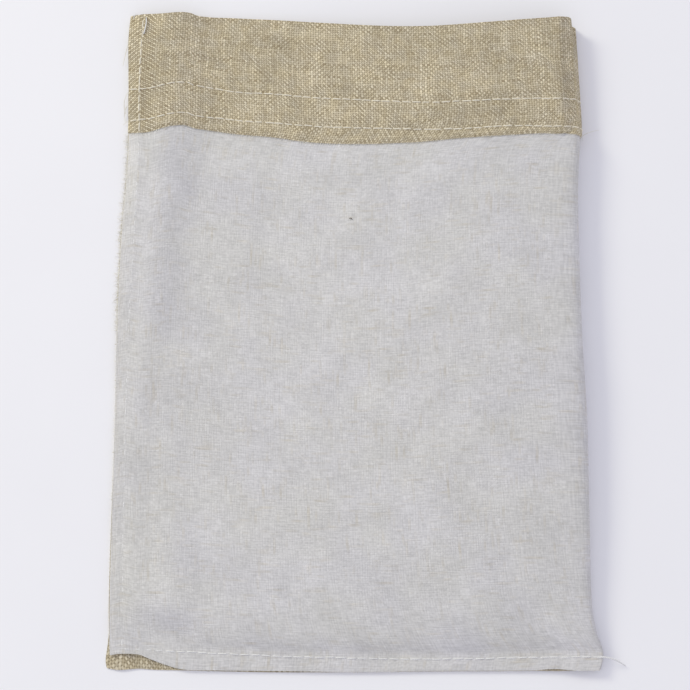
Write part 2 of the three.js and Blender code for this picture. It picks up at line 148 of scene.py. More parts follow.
# %% Plain weave as a node group
CUT_MAP = "cut"
YARN_ACROSS = 0.79 * MM
YARN_UP = 0.735 * MM
YARN_SWAY = 0.9 * MM
SWAY_SIZE = 7 * MM
SLUB_LENGTH = 9 * MM
LANE_STEP = 3.7
OVER_LIFT = 0.4
SLUB_THICKNESS = 0.9
USUAL_THICKNESS = 0.6
WARP_SPREAD = 0.3
WEFT_SPREAD = 0.24
SLUB_SPREAD = 0.5
CROSSING_SPREAD = 0.35
# How much paler warp floats are than weft floats: partly the yarns' own tone, partly painted light from the
# side
WARP_PALER_AND_LIT = 0.15
LEAN = 0.34
LEAN_SIZE = 8 * MM
CROSSING_LEAN = 0.42
SEAM_LEAN = -0.6
SEAM_STROKE = 0.12
SEAM_PLACE = 4.0 * MM
SEAM_LEAN_END = (8 * MM, 10 * MM)
CUT_WIDTH = 300 * MM
HEM_TURNED = (200 * MM, 206 * MM)

weave = bpy.data.node_groups.new("plain weave", "ShaderNodeTree")
for name in ("Height", "Shade", "Warp slub", "Weft slub", "From edge"):
    weave.interface.new_socket(name, in_out="OUTPUT", socket_type="NodeSocketFloat")

flat = add(weave, "UVMap", uv_map=CUT_MAP)
sway_noise = {"Scale": 1 / SWAY_SIZE, "Detail": 2.0}
sway = add(weave, "TexNoise", flat, named=sway_noise, out="Color", noise_dimensions="2D")
sway = add(weave, "VectorMath", sway, (0.5, 0.5, 0.5), operation="SUBTRACT")
sway = add(weave, "VectorMath", sway, (YARN_SWAY, YARN_SWAY, 0), operation="MULTIPLY")
swayed = add(weave, "VectorMath", flat, sway, operation="ADD")
yarns = add(weave, "VectorMath", swayed, (YARN_ACROSS, YARN_UP, 1), operation="DIVIDE")
numbers = add(weave, "SeparateXYZ", add(weave, "VectorMath", yarns, operation="FLOOR")).node.outputs
within = add(weave, "SeparateXYZ", add(weave, "VectorMath", yarns, operation="FRACTION")).node.outputs
along = add(weave, "VectorMath", flat, (SLUB_LENGTH, SLUB_LENGTH, 1), operation="DIVIDE")
along = add(weave, "SeparateXYZ", along).node.outputs

lean = noise(weave, flat, LEAN_SIZE, -LEAN, LEAN, NARROW, detail=1.0)
cut_place = add(weave, "SeparateXYZ", flat).node.outputs
far_edge = calc(weave, "SUBTRACT", CUT_WIDTH, cut_place[0])
from_edge = calc(weave, "MINIMUM", cut_place[0], far_edge)
seam_lean = add(weave, "MapRange", from_edge, SEAM_PLACE, SEAM_PLACE + YARN_ACROSS, SEAM_LEAN, -SEAM_LEAN)
by_seam = add(weave, "MapRange", from_edge, *SEAM_LEAN_END, 1.0, 0.0)
on_hem = add(weave, "MapRange", cut_place[1], *HEM_TURNED, 0.0, 1.0)
by_seam = calc(weave, "MULTIPLY", by_seam, on_hem)
lean = add(weave, "Mix", by_seam, named={2: lean, 3: seam_lean}, data_type="FLOAT")
corner = add(weave, "CombineXYZ", numbers[0], numbers[1])
float_own = add(weave, "TexWhiteNoise", corner, noise_dimensions="2D")
float_own = calc(weave, "SUBTRACT", float_own, 0.5)
lean = calc(weave, "MULTIPLY_ADD", float_own, CROSSING_LEAN, lean)

rounds, slubs, shades = [], [], []
for axis in (0, 1):
    off_middle = calc(weave, "SUBTRACT", within[1 - axis], 0.5)
    aside = calc(weave, "MULTIPLY", off_middle, lean)
    bend = calc(weave, "SUBTRACT", within[axis], aside)
    bend = calc(weave, "MULTIPLY", bend, math.pi)
    rounds.append(calc(weave, "SINE", bend))
    lane = calc(weave, "MULTIPLY", numbers[axis], LANE_STEP + axis)
    track = add(weave, "CombineXYZ", lane, along[1 - axis], float(axis))
    slub = add(weave, "TexNoise", track, named={"Scale": 1.0, "Detail": 2.0}, noise_dimensions="3D")
    slubs.append(calc(weave, "SUBTRACT", slub, 0.5))
    own = add(weave, "TexWhiteNoise", named={"W": lane}, noise_dimensions="1D")
    spread = (WARP_SPREAD, WEFT_SPREAD)[axis]
    # The warp is painted paler and the weft darker, partly as painted light from the side
    usual = 0.5 - spread / 2 + (WARP_PALER_AND_LIT, -WARP_PALER_AND_LIT)[axis]
    own = calc(weave, "MULTIPLY_ADD", own, spread, usual)
    shades.append(calc(weave, "MULTIPLY_ADD", slubs[axis], SLUB_SPREAD, own))

crossing = calc(weave, "ADD", numbers[0], numbers[1])
odd = calc(weave, "FLOORED_MODULO", crossing, 2.0)
over = add(weave, "MapRange", odd, 0.0, 1.0, OVER_LIFT, -OVER_LIFT)
under = calc(weave, "MULTIPLY", over, -1.0)
heights = []
for axis, lift in ((0, over), (1, under)):
    thick = calc(weave, "MULTIPLY_ADD", slubs[axis], SLUB_THICKNESS, USUAL_THICKNESS)
    body = calc(weave, "MULTIPLY", thick, rounds[axis])
    heights.append(calc(weave, "MULTIPLY_ADD", rounds[1 - axis], lift, body))
warp_on_top = calc(weave, "GREATER_THAN", heights[0], heights[1])
height = calc(weave, "MAXIMUM", heights[0], heights[1])
shade = add(weave, "Mix", warp_on_top, named={2: shades[1], 3: shades[0]}, data_type="FLOAT")
shade = calc(weave, "MULTIPLY_ADD", float_own, CROSSING_SPREAD, shade)
stroke = calc(weave, "SUBTRACT", warp_on_top, 0.5)
stroke = calc(weave, "MULTIPLY", stroke, by_seam)
shade = calc(weave, "MULTIPLY_ADD", stroke, SEAM_STROKE, shade)
add(weave, "NodeGroupOutput", height, shade, slubs[0], slubs[1], from_edge)
print("weave nodes:", len(weave.nodes))

# %% [markdown]
# ## Woven linen
# The bare face shows on the hem and inside the pouch. Flax yarn is matt, so it has a high roughness and
# hardly any shine. What the eye reads as weave is mostly the gap between yarns and the tone of each yarn,
# so both are in the colour, the gaps darkened as painted shade, and the bump adds the yarns' roundness.

# %% Woven linen material
def woven_linen():
    """Bare tan linen: uneven yarns, painted shade in the gaps between them, matt, a slow drift of tone."""
    material, tree = new_material("woven_linen")
    pattern = add(tree, "Group", node_tree=weave).node.outputs
    flat = add(tree, "UVMap", uv_map=CUT_MAP)
    yarn = add(tree, "MixRGB", pattern["Shade"], linear("#998b72"), linear("#e3d8bf"), use_clamp=True)
    drift = noise(tree, flat, 14 * MM, 0.91, 1.11)
    yarn = add(tree, "MixRGB", 1.0, yarn, drift, blend_type="MULTIPLY")
    tint = noise(tree, flat, 4 * MM, 0.0, 1.0)
    tint = add(tree, "MixRGB", tint, (1.015, 1.0, 0.95, 1.0), (0.985, 1.0, 1.04, 1.0))
    yarn = add(tree, "MixRGB", 1.0, yarn, tint, blend_type="MULTIPLY")
    # The gaps between yarns are painted darker from the weave's height: painted shade.
    depth = add(tree, "MapRange", pattern["Height"], 0.1, 0.75, 0.0, 1.0)
    colour = add(tree, "MixRGB", depth, linear("#82755d"), yarn)
    surface(tree, colour, 0.92, 0.2, relief=pattern["Height"], depth=0.1 * MM)
    return material


linen = woven_linen()
print("material:", linen.name)

# %% [markdown]
# ## Coated linen
# The outside of this inside-out pouch is the cloth's back, where a thin pale grey coating fills the gaps.
# The weave still shows through it as a fine grain of short thin lines both ways, and the tan of the
# thickest yarns as faint warm spots. The coating was spread by a blade, so its shade and its tint drift a
# little over a centimetre or two. Along the side's raw edges it has rubbed off some of the yarns.

# %% Coated linen material
GRAIN_LONG = 4 * MM
GRAIN_THIN = 0.38 * MM
WORN_WIDTH = 2.6 * MM
WORN_LONG = 7 * MM
WORN_THIN = 0.45 * MM


def coated_linen():
    """Pale grey coating over tan linen: fine woven grain, faint warm spots, slow drift of shade and tint."""
    material, tree = new_material("coated_linen")
    pattern = add(tree, "Group", node_tree=weave).node.outputs
    flat = add(tree, "UVMap", uv_map=CUT_MAP)
    tint = noise(tree, flat, 20 * MM, 0.0, 1.0, NARROW)
    grey = add(tree, "MixRGB", tint, linear("#cac8c7"), linear("#cac8ca"))
    through = calc(tree, "MAXIMUM", pattern["Warp slub"], pattern["Weft slub"])
    through = add(tree, "MapRange", through, 0.08, 0.28, 0.0, 0.36)
    worn = add(tree, "VectorMath", flat, (WORN_THIN, WORN_LONG, 1), operation="DIVIDE")
    worn = noise(tree, worn, 1.0, 0.0, 1.0, window=(0.42, 0.62))
    at_edge = add(tree, "MapRange", pattern["From edge"], 0.0, WORN_WIDTH, 0.2, 0.0)
    worn = calc(tree, "MULTIPLY", worn, at_edge)
    through = calc(tree, "MAXIMUM", through, worn)
    colour = add(tree, "MixRGB", through, grey, linear("#b3a78f"))

    tone = noise(tree, flat, 13 * MM, 0.955, 1.045, detail=4.0)
    for across, up, spread in ((GRAIN_LONG, GRAIN_THIN, 0.085), (GRAIN_THIN, GRAIN_LONG, 0.07)):
        stretched = add(tree, "VectorMath", flat, (across, up, 1), operation="DIVIDE")
        lines = noise(tree, stretched, 1.0, 1 - spread, 1 + spread)
        tone = calc(tree, "MULTIPLY", tone, lines)
    woven = add(tree, "MapRange", pattern["Shade"], 0.0, 1.0, 0.94, 1.06)
    tone = calc(tree, "MULTIPLY", tone, woven)
    colour = add(tree, "MixRGB", 1.0, colour, tone, blend_type="MULTIPLY")
    nap = {"Sheen Weight": 0.15, "Sheen Roughness": 0.5}
    surface(tree, colour, 0.8, 0.3, relief=pattern["Height"], depth=0.04 * MM, nap=nap)
    return material


coat = coated_linen()
print("material:", coat.name)

# %% [markdown]
# ## Cut edge
# Where the cloth is cut, the ends of the yarns show side by side, tan with a rim of coating, so the colour
# steps from yarn to yarn along the edge. They are painted paler than the bare yarn, partly for the pale
# frayed fibre and partly as painted light on the thin rim, with painted shade in the gaps between them.

# %% Cut edge material
def cut_edge():
    """Cut edge of coated linen: yarn ends in a row, painted pale as partly painted light, shade painted
    between.
    """
    material, tree = new_material("cut_linen_edge")
    pattern = add(tree, "Group", node_tree=weave).node.outputs
    # The gaps between the yarn ends are painted darker from the weave's height: painted shade.
    ends = add(tree, "MapRange", pattern["Height"], 0.1, 0.8, 0.0, 1.0)
    # The yarn ends are painted near white, partly as painted light on the rim.
    yarn = add(tree, "MixRGB", pattern["Shade"], linear("#e4dfd3"), linear("#f5f3ee"))
    colour = add(tree, "MixRGB", ends, linear("#d3cbbb"), yarn)
    surface(tree, colour, 0.95, 0.15, relief=pattern["Height"], depth=0.1 * MM)
    return material


edge = cut_edge()
print("material:", edge.name)

# %% [markdown]
# ## The form of the cloth
# The pouch lies as the CAD solid does, so the same tables give its outline and its folds, in millimetres.
# The solid is a millimetre thick so that it can be held and checked. The real cloth is thinner, so this
# sheet is thinner too, on the same middle surface.

# %% Sizes of the cloth and the hem
def table(columns, *rows):
    """Rows of a short table under the names of its columns."""
    return [dict(zip(columns.split(), row)) for row in rows]


CLOTH = 0.4
HALF = CLOTH / 2
LAYER_STEP = CLOTH + 0.05
EDGE_GAP = 0.1
MOUTH_Y = 104.5
FRONT_LEVEL = 7.8
PUFF = 2.0
PUFF_AT_RIGHT = 0.9
PUFF_LOWER = (0, 50)
PUFF_AT_LEFT = 3.2
PUFF_RISE = (1, 12)
PUFF_LENGTH = 3.4
PUFF_LATE = (-44, -56)
PUFF_FADE = (-88, -45)
PUFF_FROM_SEAM = 16
ROLL_FALL = 0.85
RISE_FROM_SEAM = (20, 128)
SEWN_FLAT = 1.8
STEEP_SHARE = 0.42
STEEP_LENGTH = 6.5
SLOW_LENGTH = 90
BACK_FALL = 7
BACK_RISE = (37, 58)
HEM_SPREAD = 0.8
HEM_STEP = (1.95, 2.05)
SHOULDER_X = 67.2
SHOULDER_SLOPE = 0.56
SHOULDER_FROM = (56, 68)
RIGHT_LIFT = 1.5
RIGHT_LIFT_ACROSS = (48, 74)
RIGHT_LIFT_UP = (-84, -103)
CORNER_LIFT = 0.35
CORNER_DRAWN = (1.5, 4.2)
TURN_RADIUS = LAYER_STEP / 2
TURN_REACH = TURN_RADIUS + HALF

# Outline up the pouch: raw left edges of the front and the back, left seam, outside of the fold
SIDES = table(
    "y front back seam fold",
    (-106, -73.4, -74.9, -70.5, 74.1),
    (-103, -73.8, -75.5, -70.5, 75.0),
    (-100, -74.3, -75.2, -70.5, 75.2),
    (-95, -74.5, -74.8, -70.6, 73.5),
    (-86, -74.8, -75.1, -70.9, 72.2),
    (-61, -75.0, -75.2, -71.3, 72.2),
    (-29, -75.0, -75.0, -71.7, 72.4),
    (-1, -75.3, -75.2, -71.6, 71.7),
    (34, -74.7, -74.7, -70.6, 71.8),
    (47, -73.8, -73.9, -70.2, 72.1),
    (61, -73.4, -73.6, -69.9, 72.9),
    (83, -73.8, -73.9, -70.2, 72.6),
    (98, -74.3, -74.4, -69.9, 72.4),
    (106, -73.8, -74.0, -69.4, 72.0),
)

# How far the mouth's edge sags below its highest level place
SAG = table(
    "x down",
    (-75, -1.75),
    (-70, -1.7),
    (-64, -1.5),
    (-58, -2.1),
    (-55, -1.95),
    (-53.5, -1.35),
    (-51, -1.15),
    (-44, -1.0),
    (-36, -0.5),
    (-26, 0.15),
    (-16, 1.1),
    (4, 2.95),
    (14, 3.65),
    (23, 4.0),
    (30, 3.85),
    (48, 2.8),
    (67, 1.3),
    (71, 0.6),
    (72, 0.7),
    (74, 2.75),
)

# Depth of the hem's two rows of sewing and of its raw edge, below the mouth's edge
HEM = table(
    "x upper lower raw",
    (-75, 26.0, 36.9, 41.0),
    (-69, 26.3, 36.8, 41.4),
    (-62, 25.1, 35.7, 39.9),
    (-51, 24.7, 35.1, 39.4),
    (-40, 25.9, 35.7, 40.4),
    (-28, 26.1, 36.1, 40.9),
    (-12, 26.4, 36.3, 41.7),
    (4, 26.3, 35.9, 41.2),
    (20, 26.5, 35.8, 40.3),
    (36, 26.9, 36.3, 39.7),
    (52, 27.2, 36.5, 39.7),
    (64, 28.2, 37.6, 40.0),
    (72, 28.5, 38.1, 40.9),
    (74, 27.2, 36.6, 39.2),
)

# Along the bottom: the row of sewing and the raw edges of the front and the back
BOTTOM = table(
    "x seam front back",
    (-75, -99.4, -101.5, -105.3),
    (-72, -99.5, -101.0, -105.8),
    (-66, -99.7, -101.2, -105.4),
    (-63.5, -99.8, -102.2, -105.6),
    (-59, -100.1, -103.9, -105.8),
    (-53, -100.4, -105.6, -105.9),
    (-45, -100.8, -105.9, -106.1),
    (-25, -101.7, -106.1, -106.5),
    (0, -102.3, -106.4, -106.4),
    (20, -102.6, -106.1, -106.2),
    (45, -102.2, -106.0, -106.1),
    (52.5, -102.1, -105.9, -106.0),
    (59, -102.0, -105.5, -106.1),
    (65.5, -102.0, -106.0, -106.0),
    (74, -102.0, -105.9, -105.9),
)

# The rounded right side: how far it reaches, how full its curve is (below 1 is fuller), how high above the
# back its outermost line is, and how far it stands on a foot
FOLDS = table(
    "y reach full tip foot",
    (40, 9.5, 0.58, 3.8, 0.0),
    (58, 8.5, 0.58, 3.8, 0.0),
    (66, 2.2, 0.8, 3.0, 0.0),
    (80, 1.6, 0.9, 2.4, 0.0),
    (93, 2.0, 1.0, 1.9, 0.2),
    (103, 1.8, 1.0, 1.7, 1.0),
)
FOOT_POWER = 9

# The roll beside the left seam: how far the seam stands off the floor, how much higher the front still climbs
# past it, and between which places the front falls back
ROLL = table(
    "y lift crest start end",
    (-100, 0.3, 0.1, -69.0, -63.0),
    (-85, 0.6, 0.1, -69.0, -62.0),
    (-40, 0.5, 0.1, -69.0, -62.0),
    (-10, 0.6, 0.4, -67.5, -59.0),
    (15, 0.9, 0.8, -64.5, -53.0),
    (40, 1.6, 1.0, -62.5, -50.0),
    (57, 1.9, 1.1, -61.5, -46.0),
    (72, 2.0, 1.3, -61.0, -44.0),
    (104, 2.0, 1.3, -61.0, -44.0),
)
print("rows in the outline tables:", [len(table) for table in (SIDES, SAG, HEM, BOTTOM, FOLDS, ROLL)])

# %% [markdown]
# ## Creases
# A cloth that was folded and handled keeps soft ridges and troughs. Each one here is a line on the front
# with a width and a height, and fades out to its sides. Long low waves on top of them keep the cloth from
# looking ironed.

# %% Creases and waves of the front
CREASES = table(
    "start end width height",
    ((-52, 96), (-31, 81), 4.5, -0.3),
    ((25, 69), (45, -61), 22, 0.35),
    ((-74.5, -92.5), (-69.5, -98.8), 1.3, 0.35),
)
WAVES = table(
    "length turn height shift",
    (47, 75, 0.10, 0.4),
    (29, 20, 0.06, 1.9),
    (18, 118, 0.03, 3.3),
    (11, 52, 0.015, 5.0),
)


def curve_through(table, column, at):
    """A table's column as a smooth curve over its first column, level past its ends."""
    keys = np.array([next(iter(row.values())) for row in table], float)
    values = np.array([row[column] for row in table], float)
    last = len(keys) - 1
    after = np.minimum(np.arange(last + 1) + 1, last)
    before = np.maximum(np.arange(last + 1) - 1, 0)
    slopes = (values[after] - values[before]) / (keys[after] - keys[before])
    place = np.clip(at, keys[0], keys[-1])
    low = np.clip(np.searchsorted(keys, place) - 1, 0, last - 1)
    span = keys[low + 1] - keys[low]
    t = (place - keys[low]) / span
    bend = t * t * (3 - 2 * t)
    leave = t * (1 - t) ** 2 * span * slopes[low]
    arrive = t * t * (1 - t) * span * slopes[low + 1]
    return values[low] + (values[low + 1] - values[low]) * bend + leave - arrive


def smoothstep(value, low, high):
    """Rises from 0 to 1 between two values, level at both ends."""
    t = np.clip((value - low) / (high - low), 0, 1)
    return t * t * (3 - 2 * t)


def swell(distance, width):
    """Rises steeply from a seam, then rounds off."""
    return np.sin(np.clip(distance / width, 0, 1) * math.pi / 2)


def mix(start, end, share):
    """A value between two others."""
    return start + (end - start) * share


def unit(vectors):
    """Vectors made one long."""
    return vectors / np.linalg.norm(vectors, axis=-1, keepdims=True)


def crease_height(x, y):
    """How far the front's creases lift a point."""
    height = 0.0
    for crease in CREASES:
        start = np.array(crease["start"], float)
        run = np.array(crease["end"], float) - start
        share = ((x - start[0]) * run[0] + (y - start[1]) * run[1]) / (run @ run)
        share = np.clip(share, 0, 1)
        away = np.hypot(x - start[0] - share * run[0], y - start[1] - share * run[1])
        height = height + crease["height"] * np.exp(-((away / crease["width"]) ** 2))
    return height


def wave_height(x, y):
    """How far the front's waves lift a point."""
    height = 0.0
    for wave in WAVES:
        turn = math.radians(wave["turn"])
        run = (x * math.cos(turn) + y * math.sin(turn)) / wave["length"]
        height = height + wave["height"] * np.sin(2 * math.pi * run + wave["shift"])
    return height


print("crease height at the middle of the front, mm:", round(float(crease_height(0.0, 0.0)), 3))

# %% [markdown]
# ## From the flat cut to the folded pouch
# Two numbers say where a point is on the cut. `across` runs from the front's raw left edge (0) over the
# left seam (1), the right side (2 to 3) and the back's left seam (4) to the back's raw edge (5). `up` runs
# from the raw bottom edge (0) over the bottom seam (1) and the level of the hem's raw edge (2) to the mouth
# (3). One function turns them into a place in space, and so the sheet, the sewing and the yarn ends all lie
# on the same surface.

# %% The wall of the pouch
NOMINAL_EDGE, NOMINAL_SEAM, NOMINAL_RIGHT, NOMINAL_TIP = -75, -71, 72, 74
SIDE_FAN = 0.3
BOTTOM_FAN = SIDE_FAN / 8
CREASE_OVERLAP = 5.0
WAVES_FROM_SEAM = 9.0
SEAM_PULL = 0.06
PULL_WIDTH = 1.0


def nominal_x(across):
    """About where a point of the cut lies across the pouch, for reading the tables."""
    from_front = np.minimum(across, 5 - across)
    in_allowance = mix(NOMINAL_EDGE, NOMINAL_SEAM, from_front)
    on_wall = mix(NOMINAL_SEAM, NOMINAL_RIGHT, np.clip(from_front - 1, 0, 1))
    on_fold = mix(NOMINAL_RIGHT, NOMINAL_TIP, 2 * (from_front - 2))
    return np.where(from_front <= 1, in_allowance, np.where(from_front <= 2, on_wall, on_fold))


def wall_top(x):
    """Height up the pouch at which the wall starts to turn over."""
    return MOUTH_Y - TURN_REACH - curve_through(SAG, "down", x)


def hem_length(x):
    """Length of the hem from where it has turned over to its raw edge."""
    return curve_through(HEM, "raw", x) - TURN_REACH


def bottom_edge(x, back_share):
    """The raw bottom edge of the front, the back, or between them round the fold."""
    return mix(curve_through(BOTTOM, "front", x), curve_through(BOTTOM, "back", x), back_share)


def bottom_seam(x):
    """The row of sewing along the bottom."""
    return curve_through(BOTTOM, "seam", x)


def up_the_pouch(up, x, back_share):
    """Where a level of the cut lies up the pouch."""
    seam = bottom_seam(x)
    hem = wall_top(x) - hem_length(x)
    in_allowance = mix(bottom_edge(x, back_share), seam, up)
    on_body = mix(seam, hem, up - 1)
    on_hem = mix(hem, wall_top(x), up - 2)
    return np.where(up <= 1, in_allowance, np.where(up <= 2, on_body, on_hem))


def sewn_pull(x, y):
    """How far the side seam and the bottom seam draw each layer towards the other."""
    from_side = (x - curve_through(SIDES, "seam", y)) / PULL_WIDTH
    from_bottom = (y - bottom_seam(x)) / PULL_WIDTH
    return SEAM_PULL * np.maximum(np.exp(-(from_side**2)), np.exp(-(from_bottom**2)))


def rise_from_bottom(x, y):
    """Share of its height that the front has reached above the bottom row, steep at first and then slow."""
    above = np.maximum(y - bottom_seam(x) - SEWN_FLAT, 0)
    steep = 1 - np.exp(-above / STEEP_LENGTH)
    return mix(swell(above, SLOW_LENGTH), steep, STEEP_SHARE)


def from_raw_edge(x, y, raw_edge):
    """Share of the way from a raw left edge to the left seam, 1 past the seam."""
    seam = curve_through(SIDES, "seam", y)
    return np.clip((x - raw_edge) / (seam - raw_edge), 0, 1)


def right_corner(x, y):
    """How far the bottom right corner stands off the floor."""
    return RIGHT_LIFT * smoothstep(x, *RIGHT_LIFT_ACROSS) * smoothstep(y, *RIGHT_LIFT_UP)


def back_height(x, y):
    """Middle of the back's cloth, which climbs onto the hem that lies under it and up to the left seam."""
    seam = curve_through(SIDES, "seam", y)
    allowance = from_raw_edge(x, y, curve_through(SIDES, "back", y))
    falling = 1 - smoothstep(x, seam, seam + BACK_FALL)
    raised = curve_through(ROLL, "lift", y) * np.minimum(allowance, falling)
    lying = HALF + LAYER_STEP * smoothstep(y, *BACK_RISE) + right_corner(x, y)
    return lying + raised + sewn_pull(x, y)


def roll_height(x, y):
    """How far the front stands above the lying cloth in the roll beside the left seam."""
    seam = curve_through(SIDES, "seam", y)
    start = curve_through(ROLL, "start", y)
    allowance = from_raw_edge(x, y, curve_through(SIDES, "front", y))
    climb = curve_through(ROLL, "crest", y) * smoothstep(x, seam, start)
    falling = 1 - ROLL_FALL * smoothstep(x, start, curve_through(ROLL, "end", y))
    return (curve_through(ROLL, "lift", y) * allowance + climb) * falling


def front_height(x, y):
    """Middle of the front's cloth, from where it lies on the back to where it stands over the pocket."""
    from_seam = x - curve_through(SIDES, "seam", y)
    below = bottom_seam(x)
    lowest = bottom_edge(x, 0)
    stacked = LAYER_STEP * (1 + smoothstep(y, *BACK_RISE)) + EDGE_GAP
    lying = HALF + stacked - sewn_pull(x, y) + right_corner(x, y)
    above = np.maximum(y - below - SEWN_FLAT, 0)
    at_once = mix(PUFF, PUFF_AT_RIGHT, smoothstep(x, *PUFF_LOWER)) * (1 - np.exp(-above / PUFF_LENGTH))
    puffed = mix(at_once, PUFF_AT_LEFT * smoothstep(above, *PUFF_RISE), smoothstep(x, *PUFF_LATE))
    puffed = puffed * swell(from_seam, PUFF_FROM_SEAM) * (1 - smoothstep(y, *PUFF_FADE))
    risen = smoothstep(from_seam, *RISE_FROM_SEAM) * rise_from_bottom(x, y)
    shoulder = SHOULDER_SLOPE * np.clip(x - SHOULDER_X, 0, None) * smoothstep(y, *SHOULDER_FROM)
    drawn_up = lowest - bottom_edge(x, 1)
    past_bottom = np.clip((below - y) / (below - lowest), 0, 1)
    past_side = 1 - from_raw_edge(x, y, curve_through(SIDES, "front", y))
    curl = CORNER_LIFT * smoothstep(drawn_up, *CORNER_DRAWN) * past_bottom**2
    side_fan = SIDE_FAN * past_side * (0.6 + 0.4 * np.sin(y / 5.1) * np.sin(y / 13.7))
    bottom_fan = BOTTOM_FAN * past_bottom * (0.5 + 0.5 * np.sin(x / 6.3) * np.sin(x / 17.0))
    standing = mix(puffed + roll_height(x, y), FRONT_LEVEL - lying, risen)
    creased = crease_height(x, y) * swell(from_seam + CREASE_OVERLAP, CREASE_OVERLAP)
    waving = wave_height(x, y) * swell(from_seam, WAVES_FROM_SEAM) * swell(above, WAVES_FROM_SEAM)
    return lying + standing + creased + waving - shoulder + curl + side_fan + bottom_fan


def wall_middle(across, up):
    """Middle of the cloth's thickness on the pouch's wall, in millimetres."""
    x = nominal_x(across)
    back_share = np.clip(across - 2, 0, 1)
    y = up_the_pouch(up, x, back_share)
    rise = rise_from_bottom(x, y)
    spread = HEM_SPREAD * smoothstep(up, *HEM_STEP)
    fold_x = curve_through(SIDES, "fold", y) - HALF + spread
    reach_above = mix(LAYER_STEP / 2, curve_through(FOLDS, "reach", y), rise)
    reach_below = mix(LAYER_STEP / 2, curve_through(FOLDS, "tip", y), rise)
    seam = curve_through(SIDES, "seam", y)
    front_edge = curve_through(SIDES, "front", y)
    back_edge = curve_through(SIDES, "back", y)

    front_right = fold_x - reach_above
    back_right = fold_x - reach_below
    on_front = np.where(across <= 1, mix(front_edge, seam, across), mix(seam, front_right, across - 1))
    on_back = np.where(across >= 4, mix(seam, back_edge, across - 4), mix(back_right, seam, across - 3))
    angle = math.pi * (0.5 - back_share)
    upper = angle > 0
    full = np.where(upper, curve_through(FOLDS, "full", y), 1.0)
    level_share = np.abs(np.sin(angle)) ** full
    foot = np.where(upper, curve_through(FOLDS, "foot", y), 0.0)
    out_share = mix(np.abs(np.cos(angle)) ** full, (1 - level_share) ** FOOT_POWER, foot)
    tip = back_height(fold_x, y) + reach_below
    end_above = front_height(fold_x - reach_above, y)
    end_below = back_height(fold_x - reach_below, y)
    fold_place = fold_x - np.where(upper, reach_above, reach_below) * (1 - out_share)
    fold_height = mix(tip, np.where(upper, end_above, end_below), level_share)

    places = np.where(across <= 2, on_front, np.where(across >= 3, on_back, fold_place))
    lifted = np.where(across >= 3, back_height(on_back, y), fold_height)
    lifted = np.where(across <= 2, front_height(on_front, y), lifted)
    return np.stack([places, y, lifted], axis=-1)


SLOPE_STEP = 1e-3


def outward(across, up):
    """Direction away from the pocket at a point of the wall."""
    along = wall_middle(np.minimum(across + SLOPE_STEP, 5), up)
    along = along - wall_middle(np.maximum(across - SLOPE_STEP, 0), up)
    rising = wall_middle(across, np.minimum(up + SLOPE_STEP, 3))
    rising = rising - wall_middle(across, np.maximum(up - SLOPE_STEP, 0))
    return unit(np.cross(along, rising))


def cloth_point(across, up, outside=0.0, above=0.0):
    """A point a distance outside the middle of the wall, and a distance further up the pouch."""
    across, up, outside, above = np.broadcast_arrays(across, up, outside, above)
    point = wall_middle(across, up) + outward(across, up) * outside[..., None]
    point[..., 1] += above
    return point


print("middle of the front, mm:", np.round(cloth_point(1.5, 1.6), 2))

# %% [markdown]
# ## The hem's sewing lines
# Two rows of sewing hold the hem to the wall and leave a channel between them. They were sewn by eye, so
# they slope a little against the mouth's edge. Along a row the thread pulls the layers together, and so the
# cloth dips there.

# %% The hem's surface
HEM_DIP = 0.16
EDGE_TUCK = 0.13
THINNED_WIDTH = 0.9
DIP_WIDTH = 1.1


def hem_level(depth, x):
    """The level up the wall at a depth below the mouth's edge."""
    return 3 - (depth - TURN_REACH) / hem_length(x)


def hem_outside(across, up):
    """How far the hem's cloth lies outside the wall, less where it is sewn down and at its thin raw edge."""
    x = nominal_x(across)
    depth = TURN_REACH + (3 - up) * hem_length(x)
    dip = 0.0
    for row in ("upper", "lower"):
        away = depth - curve_through(HEM, row, x)
        dip = dip + HEM_DIP * np.exp(-((away / DIP_WIDTH) ** 2))
    tucked = EDGE_TUCK * (1 - smoothstep((up - 2) * hem_length(x), 0, THINNED_WIDTH))
    return LAYER_STEP - dip - tucked


print("hem level 25 mm down, at the middle:", round(float(hem_level(25.0, 0.0)), 3))

# %% [markdown]
# ## The sheet
# Blender's grid operator gives a flat sheet of quads. Its columns and rows are set out closer where the
# cloth bends: at the seams, round the fold and over the mouth. Every point then moves to its folded place,
# and the map keeps its place on the flat cut, measured along the cloth so that the yarns keep their
# spacing. Solidify gives the thickness, with the coated face outwards, the woven face on the other side and
# the cut edge on the rim. The raw edges of the hem and the bottom are frayed, so they are thinner there.

# %% Columns and rows of the sheet
def steps(count, start, end, crowding=1.0):
    """Values from start towards end, the end left out, crowded towards the start."""
    return start + (end - start) * (np.arange(count) / count) ** crowding


columns = np.concatenate([
    steps(5, 0, 1),
    steps(84, 1, 1.94, 1.2),
    steps(18, 1.94, 2),
    steps(24, 2, 3),
    [3.0],
    steps(64, 4, 3, 1.15)[::-1],
    steps(5, 5, 4)[::-1],
])
wall_levels = np.concatenate([steps(6, 0, 1), steps(112, 1, 2, 1.1), steps(24, 2, 3), [3.0]])
turn_angles = steps(8, 0, math.pi)[1:]
hem_levels = np.concatenate([steps(44, 2, 3), [3.0]])[::-1]

turn_angles, hem_levels = turn_angles[:, None], hem_levels[:, None]
turn_outside, turn_above = TURN_RADIUS * (1 - np.cos(turn_angles)), TURN_RADIUS * np.sin(turn_angles)
wall_grid = cloth_point(columns, wall_levels[:, None])
turn_grid = cloth_point(columns, 3.0, turn_outside, turn_above)
hem_grid = cloth_point(columns, hem_levels, hem_outside(columns, hem_levels))
folded = np.concatenate([wall_grid, turn_grid, hem_grid])
print("points of the sheet, up and across:", folded.shape[:2])

